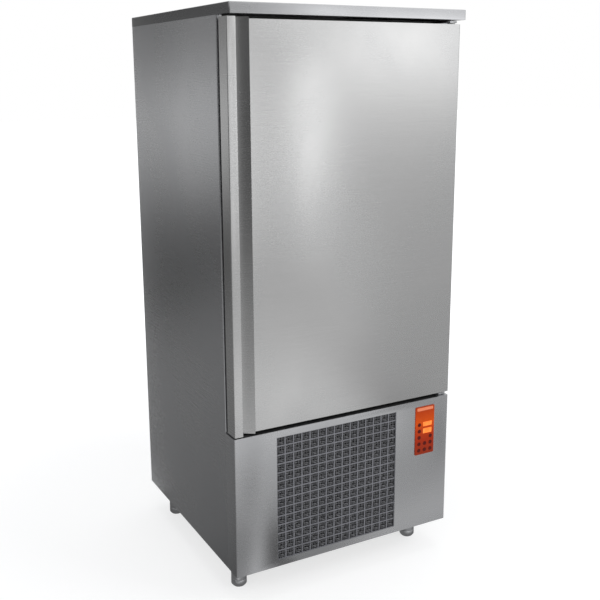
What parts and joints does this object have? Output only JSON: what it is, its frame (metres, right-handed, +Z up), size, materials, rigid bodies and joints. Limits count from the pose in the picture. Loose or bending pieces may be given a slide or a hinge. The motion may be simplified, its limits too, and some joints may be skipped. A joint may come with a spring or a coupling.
{
  "type": "blast chiller",
  "caption": "Upright free-standing blast chiller: insulated steel cabinet, full-height door with a pull lip, condensing unit behind a grille, control panel with keys, adjustable feet.",
  "frame": {"origin": "on the floor, under the centre of the cabinet outline (the centre of the bounding box in plan)", "axes": "+Z up, +Y from the door to the back, +X to the right of someone who faces the door"},
  "size_m": [0.79, 0.805, 1.805],
  "materials": {
    "cabinet_steel": "satin",
    "door_steel": "satin",
    "inner_steel": "satin",
    "galvanised_steel": "matte",
    "grille_metal": "matte",
    "insulation_foam": "matte",
    "pale_plastic": "matte",
    "black_plastic": "matte",
    "gasket_rubber": "matte",
    "black_paint": "satin",
    "fin_aluminium": "satin",
    "copper_tube": "satin",
    "control_overlay": "satin",
    "display_glass": "gloss",
    "key_plastic": "matte"
  },
  "bodies": {
    "cabinet": {"side_panel_left": "cabinet_steel", "side_panel_right": "cabinet_steel", "back_panel": "cabinet_steel", "top_panel": "cabinet_steel", "lower_front_panel": "cabinet_steel", "base_pan": "galvanised_steel", "cable_gland": "black_plastic", "insulation_body": "insulation_foam", "chamber_liner": "inner_steel", "mouth_frame": "black_plastic", "chamber_drain": "pale_plastic", "tray_rack_left": "inner_steel", "tray_rack_right": "inner_steel", "evaporator_coil": "fin_aluminium", "evaporator_fan_cover": "inner_steel", "condenser_grille": "grille_metal", "condenser_coil": "fin_aluminium", "condenser_fan_shroud": "galvanised_steel", "condenser_fan_motor": "black_paint", "compressor": "black_paint", "liquid_receiver": "black_paint", "suction_pipe": "copper_tube", "discharge_pipe": "copper_tube", "control_panel": "control_overlay", "control_housing": "black_plastic", "display_lens": "display_glass", "hinge_bracket_bottom": "cabinet_steel", "hinge_bracket_top": "cabinet_steel", "foot_sleeve_front_left": "cabinet_steel", "foot_sleeve_front_right": "cabinet_steel", "foot_sleeve_back_left": "cabinet_steel", "foot_sleeve_back_right": "cabinet_steel", "evaporator_fan_motor_1": "black_paint", "evaporator_fan_motor_2": "black_paint", "evaporator_fan_motor_3": "black_paint"},
    "door": {"door_skin": "door_steel", "door_handle": "door_steel", "door_insulation": "insulation_foam", "door_liner": "inner_steel", "door_gasket": "gasket_rubber", "hinge_bush_bottom": "pale_plastic", "hinge_bush_top": "pale_plastic"},
    "condenser_fan": {"condenser_fan": "fin_aluminium"},
    "evaporator_fan_1": {"evaporator_fan_1": "black_plastic"},
    "evaporator_fan_2": {"evaporator_fan_2": "black_plastic"},
    "evaporator_fan_3": {"evaporator_fan_3": "black_plastic"},
    "foot_adjuster_front_left": {"foot_adjuster_front_left": "cabinet_steel"},
    "foot_adjuster_front_right": {"foot_adjuster_front_right": "cabinet_steel"},
    "foot_adjuster_back_left": {"foot_adjuster_back_left": "cabinet_steel"},
    "foot_adjuster_back_right": {"foot_adjuster_back_right": "cabinet_steel"},
    "key_column1_row1": {"key_column1_row1": "key_plastic"},
    "key_column1_row2": {"key_column1_row2": "key_plastic"},
    "key_column1_row3": {"key_column1_row3": "key_plastic"},
    "key_column1_row4": {"key_column1_row4": "key_plastic"},
    "key_column1_row5": {"key_column1_row5": "key_plastic"},
    "key_column2_row4": {"key_column2_row4": "key_plastic"},
    "key_column2_row5": {"key_column2_row5": "key_plastic"},
    "key_column3_row3": {"key_column3_row3": "key_plastic"},
    "key_column3_row4": {"key_column3_row4": "key_plastic"},
    "key_column3_row5": {"key_column3_row5": "key_plastic"}
  },
  "joints": [
    {"name": "condenser_fan_spin", "type": "hinge", "parent": "cabinet", "child": "condenser_fan", "pos_m": [-0.0345, -0.2698, 0.33375], "axis": [0, 1, 0], "continuous": true},
    {"name": "door_hinge", "type": "hinge", "parent": "cabinet", "child": "door", "pos_m": [0.377, -0.3545, 1.1685], "axis": [0, 0, 1], "range_deg": [0, 110]},
    {"name": "evaporator_fan_1_spin", "type": "hinge", "parent": "cabinet", "child": "evaporator_fan_1", "pos_m": [0, 0.1816, 0.82933], "axis": [0, 1, 0], "continuous": true},
    {"name": "evaporator_fan_2_spin", "type": "hinge", "parent": "cabinet", "child": "evaporator_fan_2", "pos_m": [0, 0.1816, 1.169], "axis": [0, 1, 0], "continuous": true},
    {"name": "evaporator_fan_3_spin", "type": "hinge", "parent": "cabinet", "child": "evaporator_fan_3", "pos_m": [0, 0.1816, 1.50867], "axis": [0, 1, 0], "continuous": true},
    {"name": "foot_adjuster_front_left_turn", "type": "hinge", "parent": "cabinet", "child": "foot_adjuster_front_left", "pos_m": [-0.331, -0.2485, 0.04], "axis": [0, 0, 1], "continuous": true},
    {"name": "foot_adjuster_front_right_turn", "type": "hinge", "parent": "cabinet", "child": "foot_adjuster_front_right", "pos_m": [0.331, -0.2485, 0.04], "axis": [0, 0, 1], "continuous": true},
    {"name": "foot_adjuster_back_left_turn", "type": "hinge", "parent": "cabinet", "child": "foot_adjuster_back_left", "pos_m": [-0.331, 0.3115, 0.04], "axis": [0, 0, 1], "continuous": true},
    {"name": "foot_adjuster_back_right_turn", "type": "hinge", "parent": "cabinet", "child": "foot_adjuster_back_right", "pos_m": [0.331, 0.3115, 0.04], "axis": [0, 0, 1], "continuous": true},
    {"name": "key_column1_row1_press", "type": "slide", "parent": "cabinet", "child": "key_column1_row1", "axis": [0, 1, 0], "range_m": [0, 0.0008], "stiffness_N_per_m": 1500, "springref_m": -0.0004},
    {"name": "key_column1_row2_press", "type": "slide", "parent": "cabinet", "child": "key_column1_row2", "axis": [0, 1, 0], "range_m": [0, 0.0008], "stiffness_N_per_m": 1500, "springref_m": -0.0004},
    {"name": "key_column1_row3_press", "type": "slide", "parent": "cabinet", "child": "key_column1_row3", "axis": [0, 1, 0], "range_m": [0, 0.0008], "stiffness_N_per_m": 1500, "springref_m": -0.0004},
    {"name": "key_column1_row4_press", "type": "slide", "parent": "cabinet", "child": "key_column1_row4", "axis": [0, 1, 0], "range_m": [0, 0.0008], "stiffness_N_per_m": 1500, "springref_m": -0.0004},
    {"name": "key_column1_row5_press", "type": "slide", "parent": "cabinet", "child": "key_column1_row5", "axis": [0, 1, 0], "range_m": [0, 0.0008], "stiffness_N_per_m": 1500, "springref_m": -0.0004},
    {"name": "key_column2_row4_press", "type": "slide", "parent": "cabinet", "child": "key_column2_row4", "axis": [0, 1, 0], "range_m": [0, 0.0008], "stiffness_N_per_m": 1500, "springref_m": -0.0004},
    {"name": "key_column2_row5_press", "type": "slide", "parent": "cabinet", "child": "key_column2_row5", "axis": [0, 1, 0], "range_m": [0, 0.0008], "stiffness_N_per_m": 1500, "springref_m": -0.0004},
    {"name": "key_column3_row3_press", "type": "slide", "parent": "cabinet", "child": "key_column3_row3", "axis": [0, 1, 0], "range_m": [0, 0.0008], "stiffness_N_per_m": 1500, "springref_m": -0.0004},
    {"name": "key_column3_row4_press", "type": "slide", "parent": "cabinet", "child": "key_column3_row4", "axis": [0, 1, 0], "range_m": [0, 0.0008], "stiffness_N_per_m": 1500, "springref_m": -0.0004},
    {"name": "key_column3_row5_press", "type": "slide", "parent": "cabinet", "child": "key_column3_row5", "axis": [0, 1, 0], "range_m": [0, 0.0008], "stiffness_N_per_m": 1500, "springref_m": -0.0004}
  ]
}
